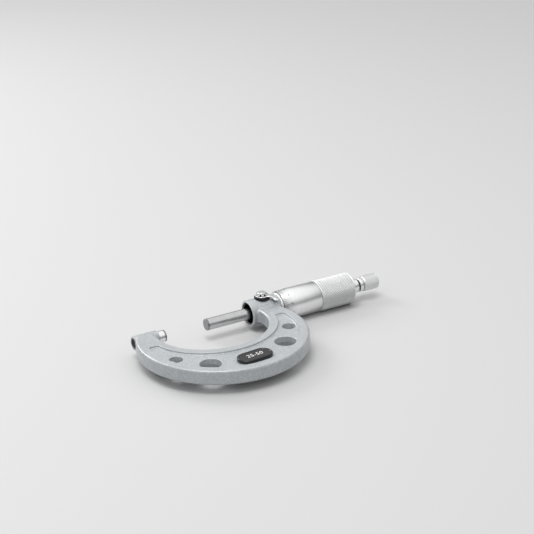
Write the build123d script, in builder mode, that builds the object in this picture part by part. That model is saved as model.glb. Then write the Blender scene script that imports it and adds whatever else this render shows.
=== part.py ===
from build123d import *
from math import cos, hypot, radians, sin
import os

os.makedirs("parts", exist_ok=True)

# Outside micrometer, 25 to 50 mm, set at 25.00 mm. Millimetres.
# X runs along the spindle axis from the anvil's measuring face, which is X = 0.
# The throat opens towards +Y, and the front of the frame faces +Z.

# Measuring line
closed_gap = 25.0
spindle_radius = 3.25
tip_length = 1.0
running = 0.03
seat = 0.01

# Frame plate
frame_half = 4.0
frame_x = 23.5
outline_y = -22.5
outline_radius = 46.5
throat_y = -11.0
throat_half_width = 31.2
throat_depth = 28.2
edge_round = 1.2

# Recessed web, on both faces
inner_rim = 5.0
outer_rim = 5.3
web_recess = 1.2
web_end_y = -16.5
web_corner = 1.5
web_edge_round = 0.35
web_floor_round = 0.7
hole_turn = 2.9
hole_draft = 10.0
hole_edge = 0.3
large_hole_circle = 34.8
large_hole_radius = 5.4
large_hole_angle = 41.3
small_hole_circle = 36.7
small_hole_radius = 3.3
small_hole_angle = 72.3

# Bosses
anvil_boss_radius = 4.0
anvil_boss_start = -18.5
anvil_boss_end = -4.3
anvil_end_chamfer = 0.4
plug_seat = -15.5
plug_radius = 3.0
tip_chamfer = 0.15
boss_radius = 7.5
boss_bore = 6.3
boss_start = 51.2
boss_end = 69.0
boss_end_round = 0.5
boss_blend = 2.0
boss_margin = 1.0
anvil_back_chamfer = 0.4
plug_recess = 0.1
plug_rim = 0.7
plug_dish = 0.5
plug_dish_taper = 30.0

# Front bush and clamp ring, inside the spindle boss
bush_start = 52.3
bush_end = 57.9
bush_mouth_radius = 5.6
bush_mouth_depth = 3.6
clamp_start = 58.1
clamp_end = 62.9
clamp_radius = 5.6
clamp_gap = 0.15
clamp_split = 1.6
thread_clearance = 0.3

# Name plate
plate_length = 20.5
plate_width = 10.8
plate_x = 24.5
plate_y = -56.0
plate_height = 1.8
plate_tilt = 5.0
plate_border = 1.8
plate_round = 0.5
plate_sink = 0.25

# Sleeves
sleeve_start = 69.15
sleeve_end = 101.0
sleeve_radius = 7.8
sleeve_bore = 7.05
nut_bore = 3.63
thread_radius = 3.6
thread_pitch = 0.5
thread_depth = 0.25
thread_start = 63.2
thread_end = 107.0
inner_start = 63.1
inner_end = 106.0
nut_start = 86.0
taper_start = 97.0
cone_large = 6.4
cone_small = 5.9
slot_start = 95.0
slot_count = 3
slot_width = 0.8
adjuster_start = 99.5
adjuster_end = 104.0
adjuster_radius = 6.9
adjuster_notches = 4
adjuster_notch_width = 1.2
adjuster_notch_depth = 0.9
adjuster_notch_length = 1.5
spanner_hole_x = 75.0
spanner_hole_radius = 0.75
sleeve_chamfer = 0.2

# Thimble
thimble_start = 70.5
thimble_end = 117.0
thimble_radius = 9.0
thimble_bore = 7.9
wall_start = 110.0
taper_large = 3.2
taper_small = 2.75
taper_end = 115.5
bevel_radius = 8.3
bevel_end = 77.5
plain_radius = 8.75
knurl_start = 95.0
groove_width = 0.5
groove_depth = 0.2
knurl_lead = 0.3
knurl_step = 0.15
thimble_end_chamfer = 0.8
tail_depth = 107.5
tail_bore = 1.6

# Ratchet
neck_radius = 4.0
neck_chamfer = 0.4
neck_lead = 0.3
neck_gap = 0.75
stem_clearance = 0.5
knob_start = 125.85
knob_end = 135.3
knob_radius = 4.4
axle_radius = 1.5
neck_end = 122.2
neck_root = 3.2
axle_end = 134.4
ring_start = 123.05
ring_end = 125.2
spigot_end = 127.0
spigot_radius = 3.48
cup_radius = 3.5
cup_end = 133.2
cup_wall_end = 134.5
head_recess_radius = 2.9
head_radius = 2.7
head_chamfer = 0.2
head_sink = 0.1
head_slot_width = 0.6
head_slot_depth = 0.45
screw_start = 131.0
screw_radius = 0.9
screw_tip_gap = 0.2
drive_start = 127.15
drive_thickness = 1.2
click_start = 128.9
ring_outer = 3.35
tooth_count = 12
tooth_height = 0.45
tooth_middle = 2.75
tooth_length = 1.1
tooth_width = 0.45
key_height = 0.3
key_width = 0.9
key_clearance = 0.2
click_clearance = 0.1
spring_start = 130.4
spring_length = 2.4
spring_pitch = 0.8
spring_radius = 2.5
spring_wire = 0.35

# Lock
lock_x = 60.5
lock_angle = -41.0
lock_seat_z = 7.2
washer_radius = 4.3
washer_thickness = 1.2
pin_radius = 1.5
pin_bottom = 3.9
cam_offset = 0.2
cam_relief = 0.3
pin_grip = 0.5
lock_pocket_clearance = 0.2
lever_z = 8.45
lever_thickness = 0.8
lever_neck_half = 1.7
lever_tip_half = 1.1
hub_radius = 3.6
lever_reach = 9.9
bend_start = 4.6
pad_radius = 2.2
pad_z = 6.15
bend_length = 1.6
bend_drop = 0.1
bend_inset = 0.6
nut_z = 9.3
nut_radius = 3.35
nut_height = 0.9
nut_chamfer = 0.25
nut_notches = 8
nut_notch_turn = 4.0
nut_notch_width = 1.0
nut_notch_depth = 1.8
screw_head_radius = 2.3
screw_head_height = 0.7
screw_slot_width = 0.5
screw_slot_depth = 0.35
lock_edge_round = 0.3


def meets_boss(edge):
    """True for the edges where the spindle boss meets the frame plate."""
    middle = edge @ 0.5
    on_cylinder = abs(hypot(middle.Y, middle.Z) - boss_radius) < running
    return on_cylinder and middle.Y < -frame_half and boss_start + running < middle.X < boss_end - running


# Frame: plate, bosses, webs, holes and bores
with BuildPart() as frame:
    with BuildSketch(Plane.XY.offset(-frame_half)):
        with Locations((frame_x, outline_y)):
            Circle(outline_radius)
        with Locations((frame_x, throat_y)):
            Ellipse(throat_half_width, throat_depth, mode=Mode.SUBTRACT)
        with Locations((frame_x, (throat_y + outline_radius) / 2)):
            Rectangle(2 * throat_half_width, outline_radius - throat_y, mode=Mode.SUBTRACT)
        with Locations((frame_x, outline_radius)):
            Rectangle(4 * outline_radius, 2 * outline_radius, mode=Mode.SUBTRACT)
    extrude(amount=2 * frame_half)
    rims = frame.faces().filter_by(Plane.XY).edges().filter_by(GeomType.LINE, reverse=True)
    fillet(rims, edge_round)
    for side in (1, -1):
        web_plane = Plane.XY.offset(side * (frame_half - web_recess))
        with BuildSketch(web_plane) as web:
            with Locations((frame_x, outline_y)):
                Circle(outline_radius - outer_rim)
            with Locations((frame_x, throat_y)):
                Ellipse(throat_half_width + inner_rim, throat_depth + inner_rim, mode=Mode.SUBTRACT)
            with Locations((frame_x, throat_y + outline_radius / 2)):
                Rectangle(2 * (throat_half_width + inner_rim), outline_radius, mode=Mode.SUBTRACT)
            with Locations((frame_x, web_end_y + outline_radius)):
                Rectangle(4 * outline_radius, 2 * outline_radius, mode=Mode.SUBTRACT)
            fillet(web.vertices(), web_corner)
        extrude(amount=side * 2 * web_recess, mode=Mode.SUBTRACT)
        web_edges = frame.edges(Select.LAST).group_by(Axis.Z)
        fillet(web_edges[0] if side > 0 else web_edges[-1], web_floor_round)
        fillet(web_edges[-1] if side > 0 else web_edges[0], web_edge_round)
    with BuildSketch(Plane.XY):
        with Locations((frame_x, outline_y)):
            for side in (1, -1):
                with PolarLocations(large_hole_circle, 1, -90 + hole_turn + side * large_hole_angle):
                    Circle(large_hole_radius)
                with PolarLocations(small_hole_circle, 1, -90 + hole_turn + side * small_hole_angle):
                    Circle(small_hole_radius)
    extrude(amount=frame_half, both=True, taper=-hole_draft, mode=Mode.SUBTRACT)
    hole_rims = frame.edges(Select.LAST).filter_by(GeomType.CIRCLE)
    fillet(hole_rims.filter_by(lambda e: abs((e @ 0.5).Z) > running), hole_edge)
    with BuildSketch(Plane.YZ.offset(anvil_boss_start)):
        Circle(anvil_boss_radius)
    extrude(amount=anvil_boss_end - anvil_boss_start)
    with BuildSketch(Plane.YZ.offset(boss_start)):
        Circle(boss_radius)
    extrude(amount=boss_end - boss_start)
    fillet(frame.edges().filter_by(meets_boss), boss_blend)
    for end, inward in ((boss_start, 1), (boss_end, -1)):
        shoulder = end + inward * boss_end_round
        with BuildSketch(Plane.XY):
            with BuildLine():
                Polyline(
                    (end, boss_radius - boss_end_round),
                    (end - inward * boss_margin, boss_radius - boss_end_round),
                    (end - inward * boss_margin, boss_radius + boss_margin),
                    (shoulder, boss_radius + boss_margin),
                    (shoulder, boss_radius),
                )
                RadiusArc((shoulder, boss_radius), (end, boss_radius - boss_end_round), inward * boss_end_round)
            make_face()
        revolve(axis=Axis.X, mode=Mode.SUBTRACT)
    with BuildSketch(Plane.YZ.offset(boss_start)):
        Circle(boss_bore)
    extrude(amount=boss_end - boss_start, mode=Mode.SUBTRACT)
    with BuildSketch(Plane.YZ.offset(anvil_boss_end)):
        Circle(spindle_radius)
    extrude(amount=plug_seat - anvil_boss_end, mode=Mode.SUBTRACT)
    with BuildSketch(Plane.YZ.offset(anvil_boss_start)):
        Circle(plug_radius)
    extrude(amount=plug_seat - anvil_boss_start, mode=Mode.SUBTRACT)
    with BuildSketch(Plane.XY.offset(lock_seat_z)):
        with Locations((lock_x, 0)):
            Circle(washer_radius + lock_pocket_clearance)
    extrude(amount=boss_radius, mode=Mode.SUBTRACT)
    with BuildSketch(Plane.XY):
        with Locations((lock_x, 0)):
            Circle(pin_radius + running)
    extrude(amount=boss_radius, mode=Mode.SUBTRACT)
    ends = frame.faces().filter_by(Axis.X).edges().filter_by(GeomType.CIRCLE)
    chamfer(ends.filter_by(lambda e: abs(e.radius - anvil_boss_radius) < running), anvil_end_chamfer)
frame.part.label = "frame"
export_step(frame.part, "parts/frame.step")

# Anvil: steel pin, carbide face, and the plug that closes the bore behind it
with BuildPart() as anvil:
    with BuildSketch(Plane.YZ.offset(plug_seat)):
        Circle(spindle_radius - seat)
    extrude(amount=-tip_length - plug_seat)
    chamfer(anvil.edges().group_by(Axis.X)[0], anvil_back_chamfer)
anvil.part.label = "anvil"
export_step(anvil.part, "parts/anvil.step")

with BuildPart() as anvil_tip:
    with BuildSketch(Plane.YZ.offset(-tip_length)):
        Circle(spindle_radius - seat)
    extrude(amount=tip_length)
    chamfer(anvil_tip.edges().group_by(Axis.X)[-1], tip_chamfer)
anvil_tip.part.label = "anvil_tip"
export_step(anvil_tip.part, "parts/anvil_tip.step")

with BuildPart() as anvil_plug:
    with BuildSketch(Plane.YZ.offset(anvil_boss_start + plug_recess)):
        Circle(plug_radius - seat)
    extrude(amount=plug_seat - anvil_boss_start - 2 * plug_recess)
    with BuildSketch(Plane.YZ.offset(anvil_boss_start + plug_recess)):
        Circle(plug_radius - plug_rim)
    extrude(amount=plug_dish, taper=plug_dish_taper, mode=Mode.SUBTRACT)
anvil_plug.part.label = "anvil_plug"
export_step(anvil_plug.part, "parts/anvil_plug.step")

# Name plate: an oval pad with a raised border, in the front web
with BuildPart() as name_plate:
    pad_plane = Plane(origin=(plate_x, plate_y, frame_half - web_recess), z_dir=(0, 0, 1))
    with BuildSketch(pad_plane.rotated((0, 0, plate_tilt))):
        SlotOverall(plate_length, plate_width)
    extrude(amount=plate_height)
    fillet(name_plate.faces().sort_by(Axis.Z)[-1].edges(), plate_round)
    face_plane = Plane(origin=(plate_x, plate_y, frame_half - web_recess + plate_height), z_dir=(0, 0, 1))
    with BuildSketch(face_plane.rotated((0, 0, plate_tilt))):
        SlotOverall(plate_length - plate_border, plate_width - plate_border)
    extrude(amount=-plate_sink, mode=Mode.SUBTRACT)
name_plate.part.label = "name_plate"
export_step(name_plate.part, "parts/name_plate.step")

# Front bush: guides the spindle, with a thin lip round the mouth of the boss
with BuildPart() as front_bush:
    with BuildSketch(Plane.YZ.offset(bush_start)):
        Circle(boss_bore - seat)
    extrude(amount=bush_end - bush_start)
    with BuildSketch(Plane.YZ.offset(bush_start)):
        Circle(bush_mouth_radius)
    extrude(amount=bush_mouth_depth, mode=Mode.SUBTRACT)
    with BuildSketch(Plane.YZ.offset(bush_start)):
        Circle(spindle_radius + running)
    extrude(amount=bush_end - bush_start, mode=Mode.SUBTRACT)
front_bush.part.label = "front_bush"
export_step(front_bush.part, "parts/front_bush.step")

# Clamp ring: a ring split at the top, with the lock pin's cam between its ends
with BuildPart() as clamp_ring:
    with BuildSketch(Plane.YZ.offset(clamp_start)):
        Circle(clamp_radius)
        Circle(spindle_radius + clamp_gap, mode=Mode.SUBTRACT)
        with Locations((0, clamp_radius)):
            Rectangle(clamp_split, 2 * clamp_radius, mode=Mode.SUBTRACT)
    extrude(amount=clamp_end - clamp_start)
    with BuildSketch(Plane.XY.offset(pin_bottom)):
        with Locations((lock_x, 0)):
            Circle(pin_radius + clamp_gap)
    extrude(amount=boss_radius, mode=Mode.SUBTRACT)
clamp_ring.part.label = "clamp_ring"
export_step(clamp_ring.part, "parts/clamp_ring.step")

# Inner sleeve: pressed into the boss, carries the graduated sleeve and holds the spindle nut.
# Its far end tapers and is slotted, so that the adjusting nut can close it on the thread.
with BuildPart() as inner_sleeve:
    with BuildSketch(Plane.XY) as inner_profile:
        with BuildLine():
            Polyline(
                (inner_start, thread_radius + thread_clearance),
                (inner_start, boss_bore - seat),
                (boss_end, boss_bore - seat),
                (boss_end, sleeve_bore - seat),
                (taper_start, sleeve_bore - seat),
                (taper_start, cone_large),
                (inner_end, cone_small),
                (inner_end, nut_bore),
                (nut_start, nut_bore),
                (nut_start, thread_radius + thread_clearance),
                close=True,
            )
        make_face()
    revolve(axis=Axis.X)
    with BuildSketch(Plane.YZ.offset(inner_end)):
        with PolarLocations((nut_bore + boss_bore) / 2, slot_count):
            Rectangle(boss_bore, slot_width)
    extrude(amount=slot_start - inner_end, mode=Mode.SUBTRACT)
inner_sleeve.part.label = "inner_sleeve"
export_step(inner_sleeve.part, "parts/inner_sleeve.step")


def cone_radius(x):
    """Radius of the inner sleeve's tapered end at a place along X."""
    return cone_large + (cone_small - cone_large) * (x - taper_start) / (inner_end - taper_start)


# Adjusting nut: bored to the same taper, with notches for a pin spanner
with BuildPart() as adjusting_nut:
    with BuildSketch(Plane.XY):
        with BuildLine():
            Polyline(
                (adjuster_start, cone_radius(adjuster_start) + seat),
                (adjuster_start, adjuster_radius),
                (adjuster_end, adjuster_radius),
                (adjuster_end, cone_radius(adjuster_end) + seat),
                close=True,
            )
        make_face()
    revolve(axis=Axis.X)
    with BuildSketch(Plane.YZ.offset(adjuster_end)):
        with PolarLocations(adjuster_radius, adjuster_notches):
            Rectangle(adjuster_notch_depth, adjuster_notch_width)
    extrude(amount=-adjuster_notch_length, mode=Mode.SUBTRACT)
adjusting_nut.part.label = "adjusting_nut"
export_step(adjusting_nut.part, "parts/adjusting_nut.step")

# Graduated sleeve: turns on the inner sleeve for zero setting, with a spanner hole at the back
with BuildPart() as outer_sleeve:
    with BuildSketch(Plane.YZ.offset(sleeve_start)):
        Circle(sleeve_radius)
        Circle(sleeve_bore + seat, mode=Mode.SUBTRACT)
    extrude(amount=sleeve_end - sleeve_start)
    chamfer(outer_sleeve.edges().group_by(Axis.X)[0].sort_by(SortBy.LENGTH)[-1], sleeve_chamfer)
    with BuildSketch(Plane.XY.offset(-sleeve_radius)):
        with Locations((spanner_hole_x, 0)):
            Circle(spanner_hole_radius)
    extrude(amount=sleeve_radius, mode=Mode.SUBTRACT)
outer_sleeve.part.label = "outer_sleeve"
export_step(outer_sleeve.part, "parts/outer_sleeve.step")

# Lock: black washer, cam pin, bent lever, notched nut and centre screw, on a vertical axis
lock_way = (cos(radians(lock_angle)), sin(radians(lock_angle)), 0)
lock_base = Plane(origin=(lock_x, 0, 0), x_dir=lock_way, z_dir=(0, 0, 1))
lever_side = Plane(origin=(lock_x, 0, 0), x_dir=lock_way, z_dir=-lock_base.y_dir)

with BuildPart() as lock_washer:
    with BuildSketch(Plane.XY.offset(lock_seat_z + seat)):
        with Locations((lock_x, 0)):
            Circle(washer_radius)
            Circle(pin_radius + running, mode=Mode.SUBTRACT)
    extrude(amount=washer_thickness)
    fillet(lock_washer.faces().sort_by(Axis.Z)[-1].outer_wire().edges(), lock_edge_round)
lock_washer.part.label = "lock_washer"
export_step(lock_washer.part, "parts/lock_washer.step")

with BuildPart() as lock_pin:
    with BuildSketch(Plane.XY.offset(boss_bore)):
        with Locations((lock_x, 0)):
            Circle(pin_radius)
    extrude(amount=nut_z + pin_grip - boss_bore)
    with BuildSketch(Plane.XY.offset(pin_bottom)):
        with Locations((lock_x, cam_offset)):
            Circle(pin_radius - cam_relief)
    extrude(amount=boss_bore - pin_bottom)
lock_pin.part.label = "lock_pin"
export_step(lock_pin.part, "parts/lock_pin.step")

with BuildPart() as lock_lever:
    with BuildSketch(lock_base):
        Circle(hub_radius)
        with Locations((lever_reach - pad_radius, 0)):
            Circle(pad_radius)
        with BuildLine():
            Polyline(
                (0, -lever_neck_half),
                (lever_reach - pad_radius, -lever_tip_half),
                (lever_reach - pad_radius, lever_tip_half),
                (0, lever_neck_half),
                close=True,
            )
        make_face()
    extrude(amount=2 * lever_z)
    with BuildSketch(lever_side):
        with BuildLine():
            top = Polyline(
                (-hub_radius, lever_z + lever_thickness),
                (bend_start, lever_z + lever_thickness),
                (bend_start + bend_length, lever_z + bend_drop),
                (lever_reach, pad_z + lever_thickness - bend_drop),
            )
            bottom = Polyline(
                (lever_reach, pad_z),
                (bend_start + bend_length - bend_inset, lever_z + bend_drop - lever_thickness),
                (bend_start - bend_inset / 2, lever_z),
                (-hub_radius, lever_z),
            )
            Line(top @ 1, bottom @ 0)
            Line(bottom @ 1, top @ 0)
        make_face()
    extrude(amount=hub_radius, both=True, mode=Mode.INTERSECT)
    with BuildSketch(Plane.XY.offset(lever_z)):
        with Locations((lock_x, 0)):
            Circle(pin_radius + seat)
    extrude(amount=lever_z, mode=Mode.SUBTRACT)
lock_lever.part.label = "lock_lever"
export_step(lock_lever.part, "parts/lock_lever.step")

with BuildPart() as lock_nut:
    with BuildSketch(Plane.XY.offset(nut_z)):
        with Locations((lock_x, 0)):
            Circle(nut_radius)
    extrude(amount=nut_height)
    chamfer(lock_nut.faces().sort_by(Axis.Z)[-1].edges(), nut_chamfer)
    with BuildSketch(Plane.XY.offset(nut_z)):
        with Locations((lock_x, 0)):
            Circle(pin_radius + seat)
            with PolarLocations(nut_radius, nut_notches, nut_notch_turn):
                Rectangle(nut_notch_depth, nut_notch_width)
    extrude(amount=nut_height, mode=Mode.SUBTRACT)
lock_nut.part.label = "lock_nut"
export_step(lock_nut.part, "parts/lock_nut.step")

with BuildPart() as lock_screw:
    with BuildSketch(Plane.XY.offset(nut_z + nut_height + seat)):
        with Locations((lock_x, 0)):
            Circle(screw_head_radius)
    extrude(amount=screw_head_height)
    fillet(lock_screw.faces().sort_by(Axis.Z)[-1].edges(), lock_edge_round)
    with BuildSketch(lock_base.offset(nut_z + nut_height + screw_head_height)):
        Rectangle(2 * screw_head_radius, screw_slot_width)
    extrude(amount=-screw_slot_depth, mode=Mode.SUBTRACT)
    with BuildSketch(Plane.XY.offset(nut_z + pin_grip + seat)):
        with Locations((lock_x, 0)):
            Circle(pin_radius - seat)
    extrude(amount=nut_height - pin_grip)
lock_screw.part.label = "lock_screw"
export_step(lock_screw.part, "parts/lock_screw.step")

# Spindle: rod, fine thread, taper seat for the thimble and a tapped tail
thread_turns = int((thread_end - thread_start) / thread_pitch)
thread_points = []
for turn in range(thread_turns):
    root_x = thread_start + turn * thread_pitch
    thread_points.append((root_x, thread_radius - thread_depth))
    thread_points.append((root_x + thread_pitch / 2, thread_radius))

with BuildPart() as spindle:
    with BuildSketch(Plane.XY):
        with BuildLine():
            Polyline(
                (closed_gap + tip_length, 0),
                (closed_gap + tip_length, spindle_radius),
                (thread_start, spindle_radius),
                *thread_points,
                (thread_end, thread_radius - thread_depth),
                (thread_end, taper_large),
                (wall_start, taper_large),
                (taper_end, taper_small),
                (taper_end, tail_bore),
                (tail_depth, tail_bore),
                (tail_depth, 0),
                close=True,
            )
        make_face()
    revolve(axis=Axis.X)
spindle.part.label = "spindle"
export_step(spindle.part, "parts/spindle.step")

with BuildPart() as spindle_tip:
    with BuildSketch(Plane.YZ.offset(closed_gap)):
        Circle(spindle_radius)
    extrude(amount=tip_length)
    chamfer(spindle_tip.edges().group_by(Axis.X)[0], tip_chamfer)
spindle_tip.part.label = "spindle_tip"
export_step(spindle_tip.part, "parts/spindle_tip.step")

# Thimble: bevelled scale edge, plain body, raised knurl and an end wall bored to the spindle's taper
with BuildPart() as thimble:
    with BuildSketch(Plane.XY):
        with BuildLine():
            Polyline(
                (thimble_start, thimble_bore),
                (thimble_start, bevel_radius),
                (bevel_end, plain_radius),
                (knurl_start - groove_width, plain_radius),
                (knurl_start - groove_width, plain_radius - groove_depth),
                (knurl_start, plain_radius - groove_depth),
                (knurl_start, thimble_radius - knurl_step),
                (knurl_start + knurl_lead, thimble_radius),
                (thimble_end - thimble_end_chamfer, thimble_radius),
                (thimble_end, thimble_radius - thimble_end_chamfer),
                (thimble_end, taper_small + running),
                (taper_end, taper_small + running),
                (wall_start, taper_large + running),
                (wall_start, thimble_bore),
                close=True,
            )
        make_face()
    revolve(axis=Axis.X)
thimble.part.label = "thimble"
export_step(thimble.part, "parts/thimble.step")

# Ratchet screw: stem in the spindle's tail, first neck ring, and the knob's axle
with BuildPart() as ratchet_screw:
    with BuildSketch(Plane.XY):
        with BuildLine():
            Polyline(
                (tail_depth + stem_clearance, 0),
                (tail_depth + stem_clearance, tail_bore - running),
                (thimble_end + seat, tail_bore - running),
                (thimble_end + seat, neck_radius - neck_lead),
                (thimble_end + neck_lead, neck_radius),
                (neck_end - neck_chamfer, neck_radius),
                (neck_end, neck_radius - neck_chamfer),
                (neck_end, neck_root),
                (neck_end + neck_gap, neck_root),
                (neck_end + neck_gap, axle_radius),
                (axle_end, axle_radius),
                (axle_end, screw_radius + seat),
                (screw_start - screw_tip_gap, screw_radius + seat),
                (screw_start - screw_tip_gap, 0),
                close=True,
            )
        make_face()
    revolve(axis=Axis.X)
ratchet_screw.part.label = "ratchet_screw"
export_step(ratchet_screw.part, "parts/ratchet_screw.step")

# Ratchet sleeve: second neck ring, with a spigot pressed into the knob
with BuildPart() as ratchet_sleeve:
    with BuildSketch(Plane.XY):
        with BuildLine():
            Polyline(
                (ring_start, axle_radius + running),
                (ring_start, neck_radius - neck_lead),
                (ring_start + neck_lead, neck_radius),
                (ring_end - neck_lead, neck_radius),
                (ring_end, neck_radius - neck_lead),
                (ring_end, spigot_radius),
                (spigot_end, spigot_radius),
                (spigot_end, axle_radius + running),
                close=True,
            )
        make_face()
    revolve(axis=Axis.X)
ratchet_sleeve.part.label = "ratchet_sleeve"
export_step(ratchet_sleeve.part, "parts/ratchet_sleeve.step")

# Drive ring and click ring: face teeth that mesh, drive ring on the axle, click ring keyed in the knob
with BuildPart() as drive_ring:
    with BuildSketch(Plane.YZ.offset(drive_start)):
        Circle(ring_outer)
        Circle(axle_radius + seat, mode=Mode.SUBTRACT)
    extrude(amount=drive_thickness)
    with BuildSketch(Plane.YZ.offset(drive_start + drive_thickness)):
        with PolarLocations(tooth_middle, tooth_count):
            Rectangle(tooth_length, tooth_width)
    extrude(amount=tooth_height)
drive_ring.part.label = "drive_ring"
export_step(drive_ring.part, "parts/drive_ring.step")

with BuildPart() as click_ring:
    with BuildSketch(Plane.YZ.offset(click_start)):
        Circle(ring_outer)
        with PolarLocations(ring_outer, 2):
            Rectangle(2 * key_height, key_width)
        Circle(axle_radius + click_clearance, mode=Mode.SUBTRACT)
    extrude(amount=drive_thickness)
    with BuildSketch(Plane.YZ.offset(click_start)):
        with PolarLocations(tooth_middle, tooth_count, 180 / tooth_count):
            Rectangle(tooth_length, tooth_width)
    extrude(amount=-tooth_height)
click_ring.part.label = "click_ring"
export_step(click_ring.part, "parts/click_ring.step")

# Ratchet spring: pushes the click ring onto the drive ring
with BuildPart() as ratchet_spring:
    with BuildLine():
        coil = Helix(spring_pitch, spring_length, spring_radius, center=(spring_start, 0, 0), direction=(1, 0, 0))
    with BuildSketch(Plane(origin=coil @ 0, z_dir=coil % 0)):
        Circle(spring_wire / 2)
    sweep(is_frenet=True)
ratchet_spring.part.label = "ratchet_spring"
export_step(ratchet_spring.part, "parts/ratchet_spring.step")

# Ratchet knob: knurled cup with two keyways inside and a recess for the end screw
with BuildPart() as ratchet_knob:
    with BuildSketch(Plane.XY):
        with BuildLine():
            Polyline(
                (knob_start, cup_radius),
                (knob_start, knob_radius - neck_lead),
                (knob_start + neck_lead, knob_radius),
                (knob_end - neck_chamfer, knob_radius),
                (knob_end, knob_radius - neck_chamfer),
                (knob_end, head_recess_radius),
                (cup_wall_end, head_recess_radius),
                (cup_wall_end, axle_radius + running),
                (cup_end, axle_radius + running),
                (cup_end, cup_radius),
                close=True,
            )
        make_face()
    revolve(axis=Axis.X)
    with BuildSketch(Plane.YZ.offset(spigot_end)):
        with PolarLocations(cup_radius, 2):
            Rectangle(2 * key_height + key_clearance, key_width + key_clearance)
    extrude(amount=cup_end - spigot_end, mode=Mode.SUBTRACT)
ratchet_knob.part.label = "ratchet_knob"
export_step(ratchet_knob.part, "parts/ratchet_knob.step")

# End screw: slotted screw in the end of the axle, keeps the knob on
with BuildPart() as end_screw:
    with BuildSketch(Plane.YZ.offset(cup_wall_end + running)):
        Circle(head_radius)
    extrude(amount=knob_end - head_sink - cup_wall_end)
    chamfer(end_screw.edges().group_by(Axis.X)[-1], head_chamfer)
    with BuildSketch(Plane.YZ.offset(screw_start)):
        Circle(screw_radius)
    extrude(amount=cup_wall_end + running - screw_start)
    with BuildSketch(Plane.YZ.offset(knob_end)):
        Rectangle(2 * head_radius, head_slot_width)
    extrude(amount=-head_slot_depth, mode=Mode.SUBTRACT)
end_screw.part.label = "end_screw"
export_step(end_screw.part, "parts/end_screw.step")
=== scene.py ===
from math import cos, pi, radians, sin

import bpy
import numpy as np
from mathutils import Matrix, Vector


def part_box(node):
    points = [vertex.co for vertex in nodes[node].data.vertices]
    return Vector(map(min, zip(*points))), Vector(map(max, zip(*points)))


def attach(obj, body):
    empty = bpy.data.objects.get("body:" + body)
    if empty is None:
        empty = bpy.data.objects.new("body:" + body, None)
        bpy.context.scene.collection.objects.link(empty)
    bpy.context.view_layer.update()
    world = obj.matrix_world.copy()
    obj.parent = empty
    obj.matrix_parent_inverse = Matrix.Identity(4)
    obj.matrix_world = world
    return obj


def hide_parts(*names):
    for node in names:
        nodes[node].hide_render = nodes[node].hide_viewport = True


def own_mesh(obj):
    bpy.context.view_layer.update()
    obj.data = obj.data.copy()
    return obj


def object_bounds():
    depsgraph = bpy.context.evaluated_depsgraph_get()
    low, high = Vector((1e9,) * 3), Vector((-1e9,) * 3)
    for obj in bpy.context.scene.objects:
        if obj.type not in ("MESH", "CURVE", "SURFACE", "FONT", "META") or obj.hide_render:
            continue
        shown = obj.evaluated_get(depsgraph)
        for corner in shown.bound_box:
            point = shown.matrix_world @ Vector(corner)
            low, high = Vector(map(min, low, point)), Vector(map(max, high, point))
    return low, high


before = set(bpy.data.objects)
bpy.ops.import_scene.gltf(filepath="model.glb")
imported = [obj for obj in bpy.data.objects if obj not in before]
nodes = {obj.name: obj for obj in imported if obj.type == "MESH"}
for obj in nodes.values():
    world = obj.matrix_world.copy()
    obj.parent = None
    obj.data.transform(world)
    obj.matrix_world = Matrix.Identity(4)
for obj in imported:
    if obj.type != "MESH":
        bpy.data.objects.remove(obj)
cadLow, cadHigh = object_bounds()
mm = 0.001
print("frame loaded:", len(nodes), "nodes")


def span(node):
    # the node's lowest and highest corners, in millimetres
    low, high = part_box(node)
    return np.array(low) / mm, np.array(high) / mm


# Node helpers

def plug(tree, socket, value):
    # a socket takes a link from another socket, or a fixed value
    if isinstance(value, bpy.types.NodeSocket):
        tree.links.new(value, socket)
    else:
        socket.default_value = value


def addNode(tree, kind, **values):
    # one node with its settings; a name with an underscore first is a socket, by name or by number
    node = tree.nodes.new("ShaderNode" + kind)
    for title, value in values.items():
        if title.startswith("_"):
            key = title[1:].replace("_", " ")
            plug(tree, node.inputs[int(key) if key.isdigit() else key], value)
        else:
            setattr(node, title, value)
    return node


def combine(tree, operation, *values, clamp=False):
    # a Math node on sockets or numbers
    node = addNode(tree, "Math", operation=operation, use_clamp=clamp)
    for socket, value in zip(node.inputs, values):
        plug(tree, socket, value)
    return node.outputs[0]


def addShares(tree, *shares):
    # the sum of several sockets, each times its own share
    parts = [combine(tree, "MULTIPLY", socket, share) for socket, share in shares]
    total = parts[0]
    for part in parts[1:]:
        total = combine(tree, "ADD", total, part)
    return total


def stretch(tree, scale):
    # Object coordinates times a scale for each axis
    place = addNode(tree, "TexCoord").outputs["Object"]
    return addNode(tree, "Mapping", _Vector=place, _Scale=scale).outputs[0]


# Shader groups, each built once and placed in the materials that need it

def newGroup(name, inputs, outputs):
    # a node group with number inputs {name: start value} and the named number outputs
    group = bpy.data.node_groups.new(name, "ShaderNodeTree")
    for title, value in inputs.items():
        socket = group.interface.new_socket(title, in_out="INPUT", socket_type="NodeSocketFloat")
        socket.default_value = value
    for title in outputs:
        group.interface.new_socket(title, in_out="OUTPUT", socket_type="NodeSocketFloat")
    given = group.nodes.new("NodeGroupInput").outputs
    results = group.nodes.new("NodeGroupOutput").inputs
    return group, given, results


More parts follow.
